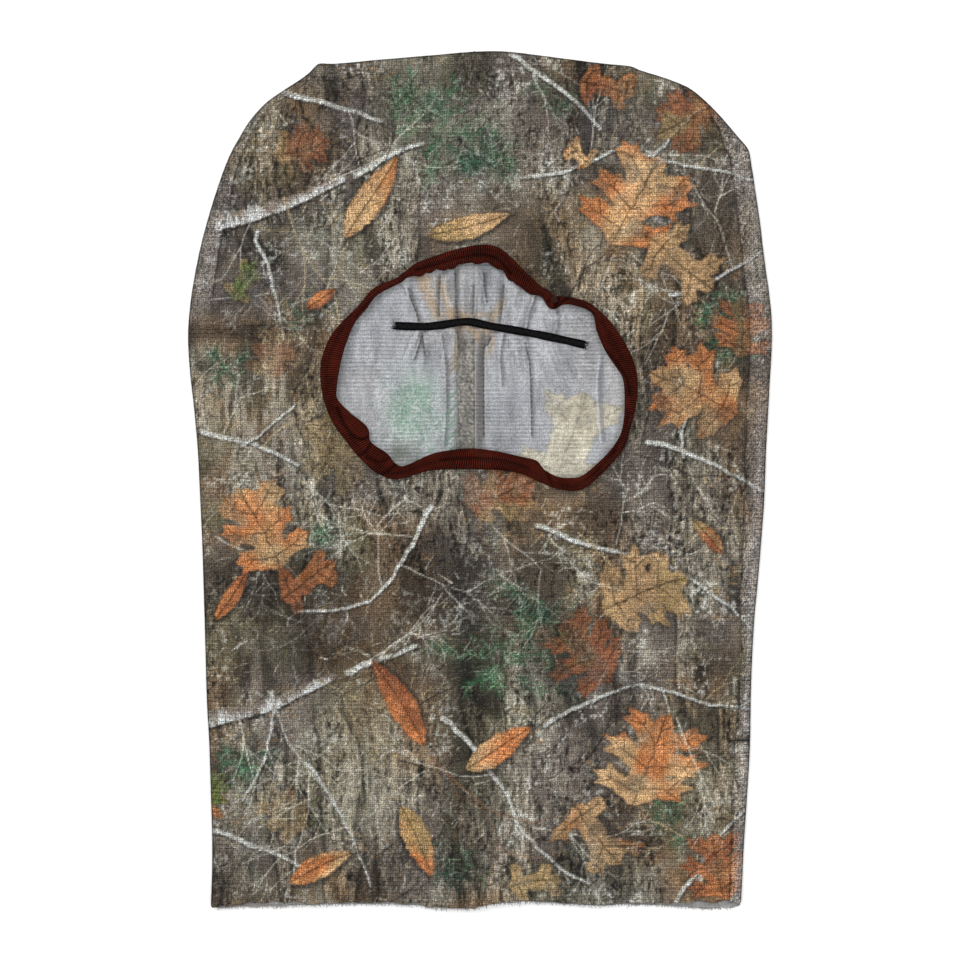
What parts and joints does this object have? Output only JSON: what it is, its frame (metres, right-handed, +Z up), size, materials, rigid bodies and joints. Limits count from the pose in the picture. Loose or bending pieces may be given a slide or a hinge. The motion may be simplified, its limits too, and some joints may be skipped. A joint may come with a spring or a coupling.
{
  "type": "mesh face mask",
  "caption": "Pull-on woodland camouflage mesh hood laid flat, with a bound oval face opening and a short elastic across the back of the head.",
  "frame": {"origin": "on the resting plane Z = 0, under the middle of the flat hood's outline", "axes": "+Y from the neck towards the crown, +Z up through the front of the hood as it lies on its back, +X to the right seen from above"},
  "size_m": [0.31, 0.4554, 0.0077],
  "materials": {
    "camo_mesh": "matte knitted mesh with a printed leaf and branch pattern",
    "binding_knit": "ribbed dark red-brown knit binding",
    "elastic_black": "braided black elastic",
    "thread_dark": "dark polyester sewing thread",
    "thread_light": "light grey polyester sewing thread"
  },
  "bodies": {
    "back": {"back_panel_left": "camo_mesh", "back_panel_right": "camo_mesh", "rear_elastic": "elastic_black", "rear_elastic_stitching": "thread_dark", "perimeter_seam_needle_thread": "thread_dark", "perimeter_seam_overlock_thread": "thread_light", "centre_back_needle_thread": "thread_light", "centre_back_overlock_thread": "thread_light"},
    "front": {"front_panel": "camo_mesh", "eye_opening_binding": "binding_knit", "binding_stitching": "thread_dark", "binding_join_tack": "thread_dark"}
  },
  "joints": [
    {"name": "neck_opening", "type": "hinge", "parent": "back", "child": "front", "pos_m": [0, 0.2276, 0.00085], "axis": [-1, 0, 0], "range_deg": [0, 6]}
  ]
}
